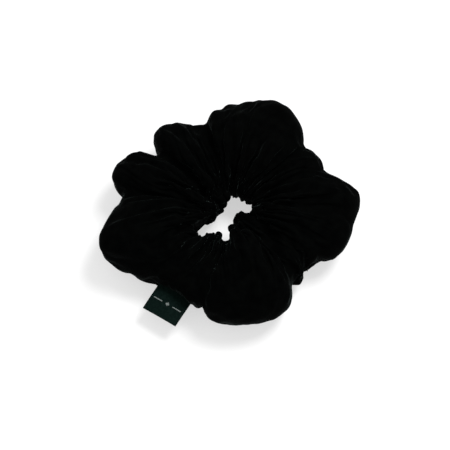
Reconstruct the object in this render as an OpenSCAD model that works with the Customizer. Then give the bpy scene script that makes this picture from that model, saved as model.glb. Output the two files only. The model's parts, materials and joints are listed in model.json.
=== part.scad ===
// Scrunchie: a velvet tube gathered on a loop of elastic, with a folded ribbon label caught in its seam.
// Millimetres, +Z up. The origin is on the axis of the hair opening, on the surface that the part rests on.
// The cover is one tube of cloth. It is drawn as a held side and a pulled side, which part at x = 0 as
// the loop is stretched along +X.

/* [Opening] */
// Diameter of the relaxed opening that grips the hair
opening_d = 21; // [18:0.5:24]
// Height of the straight wall of the opening
grip_h = 17; // [13:1:18]

/* [Cover] */
// Radius of the gathered tube between the puffs
tube_r = 42; // [40:0.5:43]
// Height of the gathered tube between the puffs
tube_h = 27; // [25:1:28]
// Thickness of the velvet, its ground cloth and pile together
velvet_t = 1.2; // [0.9:0.1:1.5]
// Gap between the two sides of the cover when it is relaxed
side_gap = 0.4; // [0.3:0.1:1]
// Radius of the round bottom of each crease in the top of the cover
crease_r = 2.6; // [2:0.2:3.4]
// Depth of each crease at the edge of the opening
crease_depth = 1.8; // [1:0.1:2]

/* [Seam] */
// Height of the lengthwise seam above the surface that the part rests on
seam_z = 9; // [8:0.5:11]
// Width of the seam allowance, turned to the inside of the tube
allowance_w = 5; // [4:0.5:6]
// Diameter of the sewing thread
thread_d = 0.4; // [0.3:0.1:0.5]
// Length of one stitch of the closing seam
stitch_l = 2.4; // [2:0.2:3]

/* [Elastic] */
// Radius of the elastic loop when it is relaxed
elastic_r = 24; // [20:0.5:27]
// Width of the elastic band
elastic_w = 7; // [5:0.5:9]
// Thickness of the elastic band
elastic_t = 0.9; // [0.6:0.1:1.2]
// Length over which the ends of the band are lapped and sewn
lap_l = 13; // [10:1:16]

/* [Label] */
// Direction in which the label points, seen from above
label_angle = 238; // [236:1:242]
// Width of the ribbon
label_w = 16; // [12:0.5:17]
// Length of the label from the cover to its fold
label_l = 12; // [10:0.1:15]
// Thickness of one ply of the ribbon
ply_t = 0.3; // [0.2:0.05:0.4]

/* [Hidden] */
$fn = 96;

// Each puff of the cover: direction, furthest reach from the axis, radius of its ball, height of its top
PUFFS = [
    [  9, 55.6, 17.0, 31],
    [ 34, 47.0, 13.0, 28],
    [ 62, 54.0, 18.0, 32],
    [ 91, 52.6, 17.0, 31],
    [121, 48.5, 15.0, 30],
    [154, 51.5, 16.5, 31],
    [194, 57.0, 18.0, 32],
    [210, 50.5, 13.5, 29],
    [272, 53.5, 17.0, 31],
    [295, 54.0, 17.0, 32],
    [318, 46.0, 12.0, 27],
    [343, 53.0, 16.5, 30]
];

// Each crease in the top of the cover runs out from the opening in this direction, and rises as it goes
CREASES = [20, 48, 77, 106, 139, 174, 241, 283, 308, 332, 356];
crease_rise = 10;

HELD = -1;
PULLED = 1;
bore_r = opening_d / 2;
// Slopes of 45 degrees lead from the opening to the top and underside, and round the tube's outer edges
rim_c = (tube_h - grip_h) / 2;
foot_c = 4;
brow_c = 8;
corner = tan(22.5);
// A cube of this size holds any of the part's halves
room = 200;

allowance_t = 1.6;
allowance_from_r = 28;
seam_mid_z = seam_z + allowance_t / 2;
seam_thread_in = velvet_t + 1;

// Each side has this many inner pleats, and each is a fold of two plies
pleats = 6;
pleat_t = 2 * velvet_t;

closing_angle = 327;
closing_centre = [27, 14];
closing_from_r = bore_r + rim_c + 1;
stitch_step = 3.6;
stitch_proud = 0.2;
stitch_deep = 0.3;

elastic_z = (tube_h - elastic_w) / 2;
lap_angle = 360 * lap_l / (2 * PI * elastic_r);
lap_inset = 0.2;
lap_zigzags = 10;

// The flap turns about a line this far outside the cover
hinge_out = 0.7;
fold_gap = 0.1;
label_t = 2 * ply_t + fold_gap;
tab_l = velvet_t + allowance_w - 1;
mark_t = 0.08;
mark_from_hinge = 4.9;
bar_l = 4.2;
bar_w = 0.45;
lozenge_w = 1.3;
lozenge_x = 4.6;

// Half outline of the gathered tube, drawn in by t all round
function tube_profile(t) = [
    [bore_r + t, rim_c + corner * t],
    [bore_r + t, tube_h - rim_c - corner * t],
    [bore_r + rim_c + corner * t, tube_h - t],
    [tube_r - brow_c - corner * t, tube_h - t],
    [tube_r - t, tube_h - brow_c - corner * t],
    [tube_r - t, foot_c + corner * t],
    [tube_r - foot_c - corner * t, t],
    [bore_r + rim_c + corner * t, t]
];

// How far a puff's ball is from the axis, and whether it reaches a side of the cover
function ball_r(puff) = puff[1] - puff[2];
function reaches(puff, side) = side * ball_r(puff) * cos(puff[0]) > -puff[2];

// The outside of the tube with its puffs and creases, drawn in by t
module tube(side, t, creased) {
    difference() {
        union() {
            rotate_extrude() polygon(tube_profile(t));
            for (puff = PUFFS)
                if (reaches(puff, side))
                    rotate([0, 0, puff[0]])
                        translate([ball_r(puff), 0, puff[3] - puff[2]])
                            sphere(r = puff[2] - t);
        }
        for (crease = CREASES)
            if (creased && side * cos(crease) > -0.1)
                rotate([0, 0, crease])
                    translate([bore_r + rim_c, 0, tube_h + crease_r - crease_depth])
                        rotate([0, 90 - crease_rise, 0])
                            translate([0, 0, -rim_c - 3])
                                cylinder(r = crease_r + t, h = room / 2);
    }
}

// Pleats of the cloth that reach in from the opening to the elastic and carry it
module inner_pleats(side) {
    intersection() {
        union()
            for (i = [0 : pleats - 1])
                rotate([0, 0, (side == HELD ? 90 : -90) + (i + 0.5) * 180 / pleats])
                    translate([bore_r + velvet_t / 2, -pleat_t / 2, rim_c])
                        cube([room, pleat_t, grip_h]);
        cylinder(r = elastic_r, h = room);
    }
}

// One side of the tube, drawn in by t, from x = cut outwards and from z = floor_z up
module half_tube(side, t, cut, floor_z, creased = false) {
    intersection() {
        tube(side, t, creased);
        translate([side > 0 ? cut : -cut - room, -room / 2, floor_z])
            cube(room);
    }
}

// A level slab of the tube's outer part, between two depths below its surface
module level_strip(side, from_t, to_t, z, height) {
    difference() {
        intersection() {
            half_tube(side, from_t, side_gap / 2, 0);
            translate([-room / 2, -room / 2, z]) cube([room, room, height]);
        }
        half_tube(side, to_t, -1, -1);
        translate([0, 0, z - 1]) cylinder(r = allowance_from_r, h = height + 2);
    }
}

// The pocket through the wall and the seam allowance that the label's end lies in
module label_place() {
    rotate([0, 0, label_angle])
        translate([tube_r - tab_l, -label_w / 2, seam_mid_z - label_t / 2])
            children();
}

module cover(side) {
    color("black") difference() {
        union() {
            difference() {
                half_tube(side, 0, side_gap / 2, 0, true);
                half_tube(side, velvet_t, -1, velvet_t, true);
            }
            inner_pleats(side);
            level_strip(side, velvet_t / 2, velvet_t + allowance_w, seam_z, allowance_t);
        }
        if (side == HELD) label_place() cube([tab_l + 1, label_w, label_t]);
    }
}

// The lengthwise seam: one line of thread through both plies of the seam allowance
module seam_thread(side) {
    color("black")
        level_strip(side, seam_thread_in, seam_thread_in + thread_d, seam_mid_z - thread_d / 2, thread_d);
}

// The stitches that close the tube's end, over the part of its girth that shows
module closing_seam_thread() {
    color("black") intersection() {
        difference() {
            half_tube(PULLED, -stitch_proud, side_gap / 2, 1);
            half_tube(PULLED, stitch_deep, -1, -1);
        }
        rotate([0, 0, closing_angle])
            translate([closing_centre[0], thread_d / 2, closing_centre[1]])
                rotate([90, 0, 0])
                    linear_extrude(thread_d)
                        closing_fans();
        difference() {
            cylinder(r = room / 2, h = room);
            cylinder(r = closing_from_r, h = room);
        }
    }
}

// Narrow fans, one for each stitch, round the middle of the tube
module closing_fans() {
    fan_r = 22;
    fan_step = 360 / round(2 * PI * fan_r / stitch_step);
    fan_half = fan_step * stitch_l / stitch_step / 2;
    for (a = [-30 : fan_step : 200])
        polygon([
            [0, 0],
            2 * fan_r * [cos(a - fan_half), sin(a - fan_half)],
            2 * fan_r * [cos(a + fan_half), sin(a + fan_half)]
        ]);
}

// The loop of elastic, with one end lapped over the other
module elastic_band() {
    reach = elastic_r + 3 * elastic_t;
    half = lap_angle / 2;
    color("ivory") difference() {
        union() {
            translate([0, 0, elastic_z]) cylinder(r = elastic_r + elastic_t, h = elastic_w);
            intersection() {
                translate([0, 0, elastic_z + lap_inset])
                    cylinder(r = elastic_r + 2 * elastic_t, h = elastic_w - 2 * lap_inset);
                linear_extrude(room)
                    polygon([
                        [0, 0],
                        reach * [-cos(half), sin(half)],
                        reach * [-1 / cos(half), 0],
                        reach * [-cos(half), -sin(half)]
                    ]);
            }
        }
        translate([0, 0, elastic_z - 1]) cylinder(r = elastic_r, h = elastic_w + 2);
    }
}

// A thin rod of thread from one point to another, short of both by a little
module thread_rod(p, q) {
    along = q - p;
    l = norm(along);
    short = thread_d;
    translate(p)
        rotate([0, acos(along[2] / l), atan2(along[1], along[0])])
            translate([0, 0, short])
                cylinder(d = thread_d, h = l - 2 * short);
}

// Zigzag stitches across the lapped ends
module elastic_lap_stitches() {
    r = elastic_r + 2 * elastic_t;
    edge = 1;
    step = (lap_angle - 6) / lap_zigzags;
    from = 180 - lap_zigzags * step / 2;
    low = elastic_z + edge;
    high = elastic_z + elastic_w - edge;
    color("white")
        for (i = [0 : lap_zigzags - 1]) {
            a = from + i * step;
            b = a + step;
            thread_rod(
                [r * cos(a), r * sin(a), i % 2 == 0 ? low : high],
                [r * cos(b), r * sin(b), i % 2 == 0 ? high : low]
            );
        }
}

// The end of the ribbon that is caught in the seam
module label_tab() {
    color("darkslategray") label_place() cube([tab_l, label_w, label_t]);
}

// Side view of the folded ribbon from its hinge line out: two plies joined by a round fold
module flap_profile() {
    straight = label_l - hinge_out - label_t / 2;
    difference() {
        union() {
            square([straight, label_t]);
            translate([straight, label_t / 2]) circle(d = label_t);
        }
        translate([-1, ply_t]) square([straight + 1, fold_gap]);
        translate([straight, label_t / 2]) circle(d = fold_gap);
    }
}

module at_hinge() {
    rotate([0, 0, label_angle])
        translate([tube_r + hinge_out, 0, seam_mid_z])
            children();
}

module label_flap() {
    color("darkslategray") at_hinge()
        translate([0, label_w / 2, -label_t / 2])
            rotate([90, 0, 0])
                linear_extrude(label_w)
                    flap_profile();
}

// A plain woven device on the upper ply: a lozenge between two bars
module label_mark() {
    color("gray") at_hinge()
        translate([mark_from_hinge, 0, label_t / 2]) {
            rotate([0, 0, 45])
                translate([-lozenge_w / 2, -lozenge_w / 2, 0])
                    cube([lozenge_w, lozenge_w, mark_t]);
            for (s = [-1, 1])
                translate([-bar_w / 2, s * lozenge_x - bar_l / 2, 0])
                    cube([bar_w, bar_l, mark_t]);
        }
}

cover(HELD);  // held_cover
cover(PULLED);  // pulled_cover
seam_thread(HELD);  // held_seam_thread
seam_thread(PULLED);  // pulled_seam_thread
closing_seam_thread();
elastic_band();
elastic_lap_stitches();
label_tab();
label_flap();
label_mark();
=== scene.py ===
"""A gathered velvet scrunchie with a folded ribbon label, on a white floor under soft studio light."""

import json
import math

import bpy
import numpy as np
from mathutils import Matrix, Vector, noise


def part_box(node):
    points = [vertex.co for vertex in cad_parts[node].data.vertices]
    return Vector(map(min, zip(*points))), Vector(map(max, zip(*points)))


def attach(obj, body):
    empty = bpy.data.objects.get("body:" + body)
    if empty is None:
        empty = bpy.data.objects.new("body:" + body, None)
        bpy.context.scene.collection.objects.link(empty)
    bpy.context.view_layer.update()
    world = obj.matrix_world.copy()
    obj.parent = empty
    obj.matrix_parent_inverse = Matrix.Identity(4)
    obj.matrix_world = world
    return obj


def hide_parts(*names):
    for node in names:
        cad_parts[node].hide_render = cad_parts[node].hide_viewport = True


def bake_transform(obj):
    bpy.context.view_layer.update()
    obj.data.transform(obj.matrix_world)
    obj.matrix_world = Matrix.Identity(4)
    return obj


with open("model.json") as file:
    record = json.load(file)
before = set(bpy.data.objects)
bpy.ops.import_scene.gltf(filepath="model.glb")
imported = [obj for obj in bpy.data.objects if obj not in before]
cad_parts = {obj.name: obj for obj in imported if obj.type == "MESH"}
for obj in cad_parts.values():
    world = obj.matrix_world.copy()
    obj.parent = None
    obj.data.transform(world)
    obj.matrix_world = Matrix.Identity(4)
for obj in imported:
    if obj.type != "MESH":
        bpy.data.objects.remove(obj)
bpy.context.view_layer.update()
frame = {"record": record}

MM = 0.001

# The cover's mesh, columns round the ring by rows
COVER_GRID = (384, 68)
# From here on, lengths are in mm and directions in degrees, unless a comment says otherwise
VELVET_T = 1.1
LOWEST = 0.05
PLEATS = 48
PLEAT_DEPTH = 2.4
# Heights of the puffs' tops and of the tube's middle line, and how square the tube's section is
TUBE_TOP = 25.0
PUFF_RISE = 6.5
OPENING_FALL = 5.0
OPENING_FOOT = 3.0
SQUARENESS = 2.5

# The cloth simulation, and how far it may move a point
SETTLE_FRAMES = 18
SETTLE_SCALE = 10
SETTLE_CAP = 5.0

# The lengthwise seam, and its thread, which lies this far inside the cloth's least reach within so many
# columns to either side
SEAM_Z = 9.8
SEAM_DEPTH = 0.7
SEAM_INSIDE = 2.8
SEAM_CLEAR = 6
CLOSING_DIRECTION = 326

# The elastic, inside its CAD box, and the lap that is sewn over it
ELASTIC_T = 0.85
ELASTIC_INSIDE = 1.8
LAP_START, LAP_SWEEP = 165, 30

# The label
LABEL_DIRECTION = 238
LABEL_FAR = 11.0
LABEL_TAIL = -5.0
LABEL_HALF = 8.0
LABEL_LONG = 12
PLY_GAP = 0.19
PLY_T = 0.26
MARK_OUT = 4.9
MARK_PITCH = 0.24

# The cover's outer edge, as (direction in degrees, reach in mm): the puffs and the notches between them
EDGE = [
    (9, 56), (16, 49.5), (23, 45.5), (43, 46), (50, 49), (60, 53.5), (70, 53.5), (89, 50.5),
    (97, 48), (105, 43.5), (112, 43.5), (120, 46.5), (132, 48), (140, 42), (146, 48), (155, 50.5),
    (166, 51), (173, 46.5), (178, 46.5), (186, 50.5), (195, 56.5), (204, 57.5), (213, 49.5), (225, 43.5),
    (238, 41.5), (252, 44.5), (266, 49.5), (276, 52.5), (289, 53), (301, 50.5), (308, 44.5),
    (315, 45), (323, 41.5), (337, 48.5), (349, 51.5), (356, 51.5),
]
# The edge of the opening, about its own middle, in the same way
OPENING_MIDDLE = (-1.0, -2.5)
OPENING = [
    (4, 5.5), (12, 9.5), (28, 10.5), (56, 10), (80, 9), (90, 6), (100, 4), (134, 2.5), (163, 3),
    (193, 6), (205, 11), (220, 13.5), (228, 9), (240, 7), (262, 8), (273, 10), (284, 5.5),
    (315, 4), (352, 3),
]
# Creases, as (direction at the opening, direction at the outer end, reach from 0 to 1, depth in mm)
CREASES = [
    (12, 24, 1.0, 3.6), (26, 43, 1.0, 5.2), (44, 52, 0.4, 2.6), (62, 70, 0.6, 3.0), (80, 86, 0.45, 3.0),
    (100, 105, 1.0, 5.4), (114, 112, 0.45, 2.6), (124, 127, 0.7, 2.8), (144, 140, 1.0, 5.6),
    (156, 152, 0.4, 2.6), (161, 166, 0.75, 3.4), (178, 173, 1.0, 4.6), (190, 186, 0.4, 2.6),
    (201, 195, 0.6, 3.4), (216, 218, 0.8, 3.6), (228, 228, 0.9, 3.2), (243, 241, 0.8, 3.0),
    (262, 256, 1.0, 4.4), (274, 270, 0.5, 3.0), (288, 284, 0.55, 2.6), (299, 294, 0.9, 3.0),
    (334, 308, 1.0, 5.6), (341, 320, 0.9, 3.2), (347, 331, 1.0, 4.2), (352, 343, 0.5, 2.8),
    (358, 356, 0.85, 3.0), (3, 8, 0.45, 2.8),
]


def around(table, directions):
    """The table's values in these directions, in between by a smooth closed curve."""
    angles = np.array([a for a, _ in table], float)
    values = np.array([v for _, v in table], float)
    order = np.argsort(angles % 360)
    angles, values = (angles % 360)[order], values[order]
    angles = np.concatenate([angles[-2:] - 360, angles, angles[:2] + 360])
    values = np.concatenate([values[-2:], values, values[:2]])
    at = np.asarray(directions) % 360
    i = np.clip(np.searchsorted(angles, at, side="right") - 1, 1, len(angles) - 3)
    slope = (values[2:] - values[:-2]) / (angles[2:] - angles[:-2])
    a, b = angles[i], angles[i + 1]
    span = b - a
    t = (at - a) / span
    m0, m1 = slope[i - 1] * span, slope[i] * span
    return (
        (2 * t**3 - 3 * t**2 + 1) * values[i]
        + (t**3 - 2 * t**2 + t) * m0
        + (3 * t**2 - 2 * t**3) * values[i + 1]
        + (t**3 - t**2) * m1
    )


def turn(a, b):
    """The signed angle from b to a, in degrees."""
    return (a - b + 180) % 360 - 180


def tube_grid(nu, nv):
    """The smooth, puffed tube with no creases yet: each row's share of the way out, and the points."""
    u = np.arange(nu) * 360 / nu
    phi = np.arange(nv) * 2 * math.pi / nv
    reach, inner = around(EDGE, u), around(OPENING, u)
    cu, su = np.cos(np.radians(u)), np.sin(np.radians(u))
    outer_xy = np.stack([reach * cu, reach * su], 1)
    inner_xy = np.stack([OPENING_MIDDLE[0] + inner * cu, OPENING_MIDDLE[1] + inner * su], 1)
    power = 2 / SQUARENESS
    c = np.sign(np.cos(phi)) * np.abs(np.cos(phi)) ** power
    s = np.sign(np.sin(phi)) * np.abs(np.sin(phi)) ** power
    share = (0.5 + 0.5 * c)[None, :]
    top = TUBE_TOP + PUFF_RISE * np.clip((reach - 42) / 13, 0, 1) ** 0.8
    high = top[:, None] - OPENING_FALL * (1 - share) ** 1.6
    low = OPENING_FOOT * (1 - share) ** 2
    z = (high + low) / 2 + (high - low) / 2 * s[None, :]
    xy = inner_xy[:, None, :] * (1 - share[..., None]) + outer_xy[:, None, :] * share[..., None]
    return share, np.concatenate([xy, z[..., None]], 2)


def grid_normals(p):
    """Unit normals of a grid of points, out of the cloth."""
    du = np.roll(p, -1, 0) - np.roll(p, 1, 0)
    dv = np.roll(p, -1, 1) - np.roll(p, 1, 1)
    n = np.cross(du, dv)
    return n / np.maximum(np.linalg.norm(n, axis=2, keepdims=True), 1e-9)


def smooth_normals(p):
    """Normals that ignore the small creases, so that a pleat stands straight up."""
    n = grid_normals(p)
    for _ in range(6):
        n = n + np.roll(n, 1, 0) + np.roll(n, -1, 0)
        n = n / np.linalg.norm(n, axis=2, keepdims=True)
    return n


def crease_depth(p, share):
    """How deep the creases are at each point."""
    direction = np.degrees(np.arctan2(p[..., 1], p[..., 0]))
    radius = np.hypot(p[..., 0], p[..., 1])
    total = np.zeros(radius.shape)
    for a_in, a_out, reach, depth in CREASES:
        line = a_in + turn(a_out, a_in) * share ** 0.8
        gap = np.radians(np.abs(turn(direction, line))) * radius
        width = 1.1 + 1.5 * share
        fade = np.clip((reach - share) / 0.3 + (reach >= 1) * 2, 0, 1)
        total += (depth * fade * (0.45 + 0.55 * (1 - share)) * np.exp(-((gap / width) ** 1.2))) ** 3
    return total ** (1 / 3)


def noise_field(p, size, seed):
    """Smooth noise at each point, with features of about this size. The same seed gives the same noise."""
    offset = Vector((seed * 7.1, seed * 3.7, seed * 5.3))
    flat = p.reshape(-1, 3)
    values = [noise.noise(Vector(q) / size + offset) for q in flat]
    return np.array(values).reshape(p.shape[:2])


def pleat_depth(p, share):
    """Fine pleats that take up the strip's length towards the opening, each of its own width and reach."""
    angle = np.arctan2(p[..., 1], p[..., 0])
    ring = np.stack([np.cos(angle), np.sin(angle), 0 * angle], 2) * 30
    phase = PLEATS * angle / (2 * math.pi) + 0.9 * noise_field(ring, 9, 3)
    wave = 4 * np.abs(phase % 1 - 0.5) - 1
    size = 0.8 + 0.9 * noise_field(ring, 3.5, 4)
    reach = 0.85 + 0.5 * noise_field(ring, 5, 5)
    rise = np.clip(0.25 + share / 0.3, 0, 1)
    fade = np.clip((reach - share) / 0.45, 0.06, 1)
    return PLEAT_DEPTH * wave * size * rise * fade


def grid_mesh(name, p):
    """A closed tube of mesh from a grid of points, which joins up both ways."""
    nu, nv = p.shape[:2]
    mesh = bpy.data.meshes.new(name)
    i, j = np.meshgrid(np.arange(nu), np.arange(nv), indexing="ij")
    ahead, above = (i + 1) % nu, (j + 1) % nv
    corners = [i * nv + j, ahead * nv + j, ahead * nv + above, i * nv + above]
    faces = np.stack(corners, -1).reshape(-1, 4)
    mesh.from_pydata((p.reshape(-1, 3) * MM).tolist(), [], faces.tolist())
    obj = bpy.data.objects.new(name, mesh)
    bpy.context.scene.collection.objects.link(obj)
    mesh.polygons.foreach_set("use_smooth", [True] * len(mesh.polygons))
    mesh.update()
    return obj


def apply_modifiers(obj):
    """Puts the result of the piece's modifiers in its mesh, and takes the modifiers away."""
    depsgraph = bpy.context.evaluated_depsgraph_get()
    depsgraph.update()
    mesh = bpy.data.meshes.new_from_object(obj.evaluated_get(depsgraph))
    obj.modifiers.clear()
    obj.data = mesh
    mesh.polygons.foreach_set("use_smooth", [True] * len(mesh.polygons))
    return obj


def seam_groove(p, share):
    """The lengthwise seam draws the cloth in along a line round the outside."""
    return SEAM_DEPTH * np.exp(-(((p[..., 2] - SEAM_Z) / 0.8) ** 2)) * np.clip(share * 10 - 8, 0, 1)


def shaped_cover():
    """The cover before it settles: its points, its creases' depth, and the share of the way out."""
    share, p = tube_grid(*COVER_GRID)
    depth = crease_depth(p, share)
    p = p - grid_normals(p) * (depth + seam_groove(p, share))[..., None]
    p += grid_normals(p) * (1.1 * noise_field(p, 14, 1) + 0.5 * noise_field(p, 5, 2))[..., None]
    p += smooth_normals(p) * pleat_depth(p, share)[..., None]
    p[..., 2] = np.maximum(p[..., 2], 0.1)
    return p, depth, np.broadcast_to(share, depth.shape)


def held_places(p, depth, share):
    """How firmly each point is held as the cloth settles: by the elastic, in a crease, or by the label."""
    by_elastic = np.clip((0.11 - share) / 0.06, 0, 1)
    in_crease = np.clip((depth - 2.4) / 0.8, 0, 1)
    direction = np.degrees(np.arctan2(p[..., 1], p[..., 0]))
    near_label = (np.abs(turn(direction, LABEL_DIRECTION)) < 11) & (np.abs(p[..., 2] - SEAM_Z) < 4)
    by_label = (near_label & (share > 0.85)).astype(float)
    return np.maximum(np.maximum(by_elastic, in_crease), by_label)


def cloth_settings(modifier, group):
    """A soft, damped cloth with air inside, held where the group says."""
    cloth = modifier.settings
    cloth.quality = 4
    cloth.mass = 0.3
    cloth.tension_stiffness = cloth.compression_stiffness = 15
    cloth.shear_stiffness = 5
    cloth.bending_stiffness = 0.5
    cloth.tension_damping = cloth.compression_damping = cloth.shear_damping = 5
    cloth.air_damping = 2
    cloth.vertex_group_mass = group
    cloth.pin_stiffness = 1
    cloth.use_pressure = True
    cloth.uniform_pressure_force = 3
    cloth.effector_weights.gravity = 0
    touch = modifier.collision_settings
    touch.use_collision = False
    touch.use_self_collision = True
    touch.self_distance_min = 0.005
    touch.self_friction = 5


def settle(p, held):
    """Air inside the tube fills out the pleats between the places where the cloth is held.
    The simulation is run at SETTLE_SCALE times real size, where its lengths suit the solver."""
    obj = grid_mesh("settling", p * SETTLE_SCALE)
    group = obj.vertex_groups.new(name="held")
    for i, weight in enumerate(held.reshape(-1)):
        if weight > 0:
            group.add([i], float(weight), "REPLACE")
    modifier = obj.modifiers.new("Cloth", "CLOTH")
    cloth_settings(modifier, "held")
    scene = bpy.context.scene
    scene.frame_start, scene.frame_end = 1, SETTLE_FRAMES
    modifier.point_cache.frame_start, modifier.point_cache.frame_end = 1, SETTLE_FRAMES
    for f in range(1, SETTLE_FRAMES + 1):
        scene.frame_set(f)
    settled = obj.evaluated_get(bpy.context.evaluated_depsgraph_get()).to_mesh()
    q = np.zeros(p.size, np.float32)
    settled.vertices.foreach_get("co", q)
    q = q.reshape(p.shape).astype(float) / (SETTLE_SCALE * MM)
    scene.frame_set(1)
    bpy.data.objects.remove(obj)
    move = q - p
    length = np.linalg.norm(move, axis=2, keepdims=True)
    q = p + move * np.minimum(1, SETTLE_CAP / np.maximum(length, 1e-6))
    q[..., 2] = np.maximum(q[..., 2], 0.1)
    return q


def velvet_cover(p):
    """The cover's mesh from its points: one finer subdivision, the cloth's thickness, and a flat rest."""
    cover = grid_mesh("velvet_cover", p)
    finer = cover.modifiers.new("finer", "SUBSURF")
    finer.levels = finer.render_levels = 1
    skin = cover.modifiers.new("cloth", "SOLIDIFY")
    skin.thickness = VELVET_T * MM
    skin.offset = -1
    apply_modifiers(cover)
    for vertex in cover.data.vertices:
        vertex.co.z = max(vertex.co.z, LOWEST * MM)
    return cover


def principled(name, **values):
    """A new material, its node tree and its shader, with these values on the shader's own sockets."""
    material = bpy.data.materials.new(name)
    material.use_nodes = True
    shader = material.node_tree.nodes["Principled BSDF"]
    for key, value in values.items():
        shader.inputs[key.replace("_", " ")].default_value = value
    return material, material.node_tree, shader


def add_bump(tree, shader, height, strength, distance):
    """Bump from a height, with the distance in metres."""
    bump = tree.nodes.new("ShaderNodeBump")
    bump.inputs["Strength"].default_value = strength
    bump.inputs["Distance"].default_value = distance
    tree.links.new(height, bump.inputs["Height"])
    tree.links.new(bump.outputs["Normal"], shader.inputs["Normal"])


def noise_node(tree, scale, detail=3.0, roughness=0.5):
    """Noise over the piece, with the scale per metre."""
    place = tree.nodes.new("ShaderNodeTexCoord")
    node = tree.nodes.new("ShaderNodeTexNoise")
    node.inputs["Scale"].default_value = scale
    node.inputs["Detail"].default_value = detail
    node.inputs["Roughness"].default_value = roughness
    tree.links.new(place.outputs["Object"], node.inputs["Vector"])
    return node


def ramp(tree, source, low, high, start=0.35, end=0.65):
    """A colour from low to high as the source goes from start to end."""
    node = tree.nodes.new("ShaderNodeValToRGB")
    node.color_ramp.elements[0].position = start
    node.color_ramp.elements[1].position = end
    node.color_ramp.elements[0].color = (*low, 1)
    node.color_ramp.elements[1].color = (*high, 1)
    tree.links.new(source, node.inputs["Fac"])
    return node


def velvet_material():
    """Black velvet: a mottled, light-swallowing pile with a faint teal sheen where it turns away."""
    material, tree, shader = principled(
        "velvet",
        Roughness=0.9,
        Specular_IOR_Level=0.01,
        Sheen_Weight=0.045,
        Sheen_Roughness=0.22,
        Sheen_Tint=(0.75, 1.0, 0.95, 1),
    )
    mottle = noise_node(tree, 260, 4)
    colour = ramp(tree, mottle.outputs["Fac"], (0.0003, 0.0004, 0.0004), (0.0008, 0.0010, 0.0009))
    tree.links.new(colour.outputs["Color"], shader.inputs["Base Color"])
    nap = noise_node(tree, 2600, 2, 0.7)
    add_bump(tree, shader, nap.outputs["Fac"], 0.5, 0.0002)
    return material


def simple_cloth(name, colour, shine=0.2):
    """Thread, knit or woven yarn of one colour with a fine grain."""
    material, tree, shader = principled(name, Roughness=0.8, Specular_IOR_Level=shine)
    grain = noise_node(tree, 3000.0, 2)
    dark = tuple(0.7 * c for c in colour)
    tint = ramp(tree, grain.outputs["Fac"], dark, colour)
    tree.links.new(tint.outputs["Color"], shader.inputs["Base Color"])
    add_bump(tree, shader, grain.outputs["Fac"], 0.4, 0.0001)
    return material


def ribbon_material():
    """Satin: floats of shiny yarn along the ribbon, crossed by fine picks."""
    material, tree, shader = principled(
        "satin_ribbon",
        Roughness=0.5,
        Specular_IOR_Level=0.012,
        Sheen_Weight=0.01,
        Sheen_Roughness=0.4,
        Sheen_Tint=(0.6, 1.0, 0.9, 1),
    )
    place = tree.nodes.new("ShaderNodeUVMap")
    place.uv_map = "weave"
    picks = tree.nodes.new("ShaderNodeTexWave")
    picks.inputs["Scale"].default_value = 900
    picks.inputs["Distortion"].default_value = 0.6
    picks.inputs["Detail"].default_value = 1.0
    tree.links.new(place.outputs["UV"], picks.inputs["Vector"])
    streaks = noise_node(tree, 1500, 2)
    colour = ramp(tree, streaks.outputs["Fac"], (0.0012, 0.0046, 0.0037), (0.0032, 0.0084, 0.0069))
    tree.links.new(colour.outputs["Color"], shader.inputs["Base Color"])
    add_bump(tree, shader, picks.outputs["Fac"], 0.35, 0.00006)
    return material


def set_material(obj, material):
    obj.data.materials.clear()
    obj.data.materials.append(material)


def floor():
    """A plain white floor. It glows a little, so that it stays white under a soft light."""
    mesh = bpy.data.meshes.new("floor")
    half = 3.0
    corners = [(-half, -half, 0), (half, -half, 0), (half, half, 0), (-half, half, 0)]
    mesh.from_pydata(corners, [], [(0, 1, 2, 3)])
    obj = bpy.data.objects.new("floor", mesh)
    bpy.context.scene.collection.objects.link(obj)
    material, _, _ = principled(
        "lit_white_floor",
        Base_Color=(0.42, 0.42, 0.42, 1),
        Roughness=0.9,
        Specular_IOR_Level=0.0,
        Emission_Color=(1, 1, 1, 1),
        Emission_Strength=0.57,
    )
    set_material(obj, material)


def area_light(name, place, target, size, power):
    """A square area light, in metres and watts."""
    data = bpy.data.lights.new(name, "AREA")
    data.size = size
    data.energy = power
    obj = bpy.data.objects.new(name, data)
    bpy.context.scene.collection.objects.link(obj)
    obj.location = place
    obj.rotation_euler = (Vector(target) - Vector(place)).to_track_quat("-Z", "Y").to_euler()


def studio():
    """Light from all round, and one soft key light from the upper right that casts the shadow."""
    scene = bpy.context.scene
    world = bpy.data.worlds.new("studio")
    scene.world = world
    world.use_nodes = True
    background = world.node_tree.nodes["Background"]
    background.inputs["Color"].default_value = (1, 1, 1, 1)
    background.inputs["Strength"].default_value = 0.75
    area_light("key", (0.45, 0.32, 1.08), (0, 0, 0.01), 0.42, 12.5)
    scene.view_settings.view_transform = "Standard"


def camera():
    """The camera looks down from the front."""
    elevation, distance, frame_width = math.radians(66), 0.75, 0.1904
    data = bpy.data.cameras.new("camera")
    data.sensor_width = 36
    data.lens = 36 * distance / frame_width
    obj = bpy.data.objects.new("camera", data)
    bpy.context.scene.collection.objects.link(obj)
    back = Vector((0, -math.cos(elevation), math.sin(elevation)))
    up = Vector((0, math.sin(elevation), math.cos(elevation)))
    aim = Vector((-0.0013, 0, 0.013)) - up * 0.0051
    obj.location = aim + back * distance
    obj.rotation_euler = (-back).to_track_quat("-Z", "Y").to_euler()
    bpy.context.scene.camera = obj


def mesh_object(name, points, faces):
    """A smooth mesh piece from points in mm."""
    mesh = bpy.data.meshes.new(name)
    mesh.from_pydata([tuple(c * MM for c in q) for q in points], [], faces)
    mesh.polygons.foreach_set("use_smooth", [True] * len(mesh.polygons))
    obj = bpy.data.objects.new(name, mesh)
    bpy.context.scene.collection.objects.link(obj)
    return obj


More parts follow.
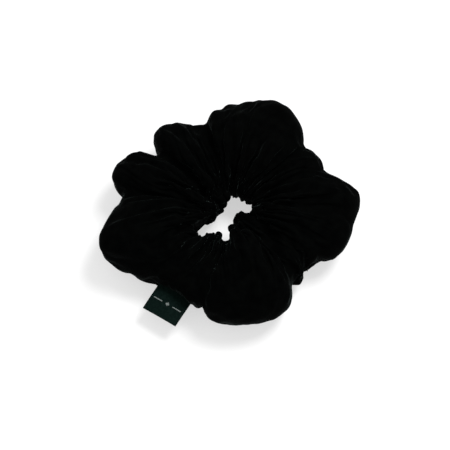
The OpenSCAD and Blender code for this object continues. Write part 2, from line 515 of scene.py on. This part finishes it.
def add_stitch(points, faces, a, b, radius, lift=(0, 0, 0)):
    """One stitch of thread from a to b, in mm, thinner at its ends and arched by lift."""
    a, b, lift = Vector(a), Vector(b), Vector(lift)
    along = (b - a).normalized()
    side = along.orthogonal().normalized()
    other = along.cross(side)
    rings, sides = 7, 8
    first = len(points)
    for i in range(rings):
        t = i / (rings - 1)
        middle = a.lerp(b, t) + lift * math.sin(math.pi * t)
        r = radius * (0.35 + 0.65 * math.sin(math.pi * t) ** 0.5)
        for j in range(sides):
            turned = 2 * math.pi * j / sides
            points.append(middle + side * (r * math.cos(turned)) + other * (r * math.sin(turned)))
    for i in range(rings - 1):
        for j in range(sides):
            k = (j + 1) % sides
            low, high = first + i * sides, first + (i + 1) * sides
            faces.append((low + j, low + k, high + k, high + j))
    faces.append(tuple(first + j for j in reversed(range(sides))))
    faces.append(tuple(first + (rings - 1) * sides + j for j in range(sides)))


def stitches(name, ends, radius, lift=0.0):
    """A row of stitches. Each is arched outwards from the axis by lift, in mm."""
    points, faces = [], []
    for a, b in ends:
        out = Vector((a[0] + b[0], a[1] + b[1], 0)).normalized() * lift
        add_stitch(points, faces, a, b, radius, out)
    return mesh_object(name, points, faces)


def polar(r, degrees, z):
    """A point at this distance from the axis, in this direction, at this height."""
    return (r * math.cos(math.radians(degrees)), r * math.sin(math.radians(degrees)), z)


def seam_line(p):
    """Where the lengthwise seam runs, just inside the settled cover, one point for each column."""
    rows = np.arange(p.shape[1])
    outer = p[:, np.cos(rows * 2 * math.pi / len(rows)) > 0.5]
    nearest = np.abs(outer[..., 2] - SEAM_Z).argmin(1)
    at_seam = outer[np.arange(len(outer)), nearest]
    reach = np.hypot(at_seam[:, 0], at_seam[:, 1])
    least = np.min([np.roll(reach, k) for k in range(-SEAM_CLEAR, SEAM_CLEAR + 1)], axis=0)
    angle = np.arctan2(at_seam[:, 1], at_seam[:, 0])
    inside = least - SEAM_INSIDE
    return np.stack([inside * np.cos(angle), inside * np.sin(angle), 0 * inside + SEAM_Z], 1)


def seam_thread(p):
    """Running stitches inside the cover, along the lengthwise seam."""
    line = seam_line(p)
    ends = [(line[i], line[i + 2]) for i in range(0, len(line) - 2, 3)]
    return stitches("seam_stitches", ends, 0.2, 0.15)


def closing_thread(p):
    """Stitches along the closing seam, which lies in a crease of the cover."""
    nu, nv = p.shape[:2]
    column = int(nu * CLOSING_DIRECTION / 360)
    first_row, last_row = -8, 34
    line = p[column]
    normals = grid_normals(p)[column]
    ends = []
    for j in range(first_row, last_row, 2):
        a, b = j % nv, (j + 1) % nv
        ends.append((line[a] + normals[a] * 0.05, line[b] + normals[b] * 0.05))
    return stitches("closing_stitches", ends, 0.18, 0.05)


def band(name, radius, thick, low, high, start, sweep, steps):
    """A knitted band round the axis, with ribs along it. A sweep of 360 is closed."""
    closed = sweep >= 360
    rows = 15
    section = [(1, k / (rows - 1)) for k in range(rows)] + [(0, 1 - k / (rows - 1)) for k in range(rows)]
    points, faces = [], []
    count = steps if closed else steps + 1
    for i in range(count):
        a = start + sweep * i / steps
        knit = 0.05 * math.cos(math.pi * i)
        for outer, t in section:
            cord = 0.09 * abs(math.sin(math.pi * 6 * t)) - 0.09
            sign = 1 if outer else -1
            r = radius + thick * outer + sign * (cord + knit)
            points.append(polar(r, a, low + (high - low) * t))
    size = len(section)
    for i in range(count if closed else count - 1):
        here, there = i * size, (i + 1) % count * size
        for j in range(size):
            k = (j + 1) % size
            faces.append((here + j, there + j, there + k, here + k))
    if not closed:
        faces.append(tuple(range(size)))
        faces.append(tuple((count - 1) * size + j for j in reversed(range(size))))
    return mesh_object(name, points, faces)


def elastic_pieces():
    """The elastic loop and its sewn lap, sized from the CAD's box, and the radius of the lap's outside."""
    low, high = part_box("elastic_band")
    radius = -low[0] / MM - ELASTIC_INSIDE
    z0, z1 = low[2] / MM, high[2] / MM
    loop = band("elastic_loop", radius, ELASTIC_T, z0, z1, 0, 360, 420)
    lap_radius = radius + ELASTIC_T + 0.04
    lap = band("elastic_lap", lap_radius, ELASTIC_T, z0 + 0.2, z1 - 0.2, LAP_START, LAP_SWEEP, 36)
    return loop, lap, radius + 2 * ELASTIC_T


def lap_thread(radius):
    """Zigzag stitches across the lap, which stop 2 degrees short of its ends."""
    low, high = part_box("elastic_lap_stitches")
    z0, z1 = low[2] / MM, high[2] / MM
    count, margin = 14, 2
    start, sweep = LAP_START + margin, LAP_SWEEP - 2 * margin
    ends = []
    for i in range(count):
        a, b = start + sweep * i / count, start + sweep * (i + 1) / count
        za, zb = (z0, z1) if i % 2 == 0 else (z1, z0)
        ends.append((polar(radius + 0.1, a, za), polar(radius + 0.1, b, zb)))
    return stitches("lap_stitches", ends, 0.17, 0.1)


def ribbon_frame():
    """The label's root, outward direction and sideways direction, from its hinge in the record."""
    joints = frame["record"]["behaviour"]["joints"]
    hinge = next(j for j in joints if j["name"] == "label_bend")
    place = Vector(hinge["pos_m"])
    out = Vector((place.x, place.y, 0)).normalized()
    return place, out, Vector((-out.y, out.x, 0))


def ribbon_point(s, w, up):
    """A point of the folded ribbon, s mm out from the hinge, w mm sideways and up mm above its middle."""
    place, out, side = ribbon_frame()
    t = max(s, 0) / LABEL_LONG
    bow = 0.35 * t * (1 - (w / LABEL_HALF) ** 2)
    height = 0.5 * t - 0.9 * t * t + 0.05 * t * w + bow + up
    return place / MM + out * s + side * w + Vector((0, 0, height))


def ribbon_path(run, fold):
    """Along the lower ply, round the fold and back along the upper ply, as (out, up) from the hinge."""
    whole = LABEL_FAR - LABEL_TAIL
    path = [(LABEL_TAIL + whole * i / run, -PLY_GAP) for i in range(run)]
    for k in range(fold + 1):
        a = math.radians(-90 + 180 * k / fold)
        path.append((LABEL_FAR + PLY_GAP * 1.3 * math.cos(a), PLY_GAP * math.sin(a)))
    path += [(LABEL_FAR - whole * i / run, PLY_GAP) for i in range(1, run + 1)]
    return path


def weave_map(obj, path, across):
    """Texture places in metres, along and across the ribbon, for its weave."""
    steps = [math.hypot(b[0] - a[0], b[1] - a[1]) for a, b in zip(path, path[1:])]
    lengths = [0.0]
    for step in steps:
        lengths.append(lengths[-1] + step)
    uv = obj.data.uv_layers.new(name="weave")
    for loop in obj.data.loops:
        i, j = divmod(loop.vertex_index, across + 1)
        uv.data[loop.index].uv = (lengths[i] * MM, (2 * j / across) * LABEL_HALF * MM)


def label_ribbon():
    """The ribbon goes out from the seam, is folded, and comes back over itself."""
    across = 32
    path = ribbon_path(run=44, fold=8)
    points = [
        ribbon_point(out, LABEL_HALF * (2 * j / across - 1), up)
        for out, up in path
        for j in range(across + 1)
    ]
    faces = []
    for i in range(len(path) - 1):
        for j in range(across):
            a = i * (across + 1) + j
            faces.append((a, a + across + 1, a + across + 2, a + 1))
    obj = mesh_object("label_ribbon", points, faces)
    weave_map(obj, path, across)
    solid = obj.modifiers.new("cloth", "SOLIDIFY")
    solid.thickness = PLY_T * MM
    solid.offset = 0
    return apply_modifiers(obj)


def mark_lengths(w):
    """How far the woven mark reaches along the ribbon, this far across it: a lozenge between bars."""
    if abs(w) < 0.95:
        return 0.95 - abs(w)
    return 0.26 if 2.5 < abs(w) < 6.7 else 0.0


def label_mark():
    """Short strokes of pale yarn, side by side, that make up the woven mark."""
    points, faces = [], []
    for i in range(-29, 30):
        w = i * MARK_PITCH
        half = mark_lengths(w)
        if half > 0.1:
            above = 0.36
            a = ribbon_point(MARK_OUT - half, w, above)
            b = ribbon_point(MARK_OUT + half, w, above)
            add_stitch(points, faces, a, b, 0.12, (0, 0, 0.04))
    return mesh_object("label_mark_yarn", points, faces)


def set_stage():
    camera()
    floor()
    studio()


def dress(pieces):
    """Gives each piece its material."""
    for obj, material, slot in pieces:
        set_material(obj, material)


def main():
    set_stage()
    start, depth, share = shaped_cover()
    p = settle(start, held_places(start, depth, share))
    cover = velvet_cover(p)
    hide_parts("held_cover", "pulled_cover")
    loop, lap, lap_radius = elastic_pieces()
    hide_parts("elastic_band")
    seam, closing, zigzag = seam_thread(p), closing_thread(p), lap_thread(lap_radius)
    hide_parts("held_seam_thread", "pulled_seam_thread")
    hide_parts("closing_seam_thread")
    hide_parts("elastic_lap_stitches")
    ribbon, mark = label_ribbon(), label_mark()
    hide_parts("label_tab", "label_flap")
    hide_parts("label_mark")
    thread = simple_cloth("black_thread", (0.0016, 0.0018, 0.0018), 0.01)
    white = simple_cloth("white_thread", (0.8, 0.8, 0.78))
    knit = simple_cloth("elastic", (0.75, 0.74, 0.7))
    dress([
        (cover, velvet_material(), "velvet"),
        (loop, knit, "elastic"),
        (lap, knit, "elastic"),
        (seam, thread, "black_thread"),
        (closing, thread, "black_thread"),
        (zigzag, white, "white_thread"),
        (ribbon, ribbon_material(), "satin_ribbon"),
        (mark, simple_cloth("woven_mark", (0.22, 0.25, 0.24), 0.05), "woven_mark"),
    ])
    for obj in (cover, loop, lap, seam, closing, zigzag):
        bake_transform(obj)
    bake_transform(ribbon)
    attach(mark, "label")


main()
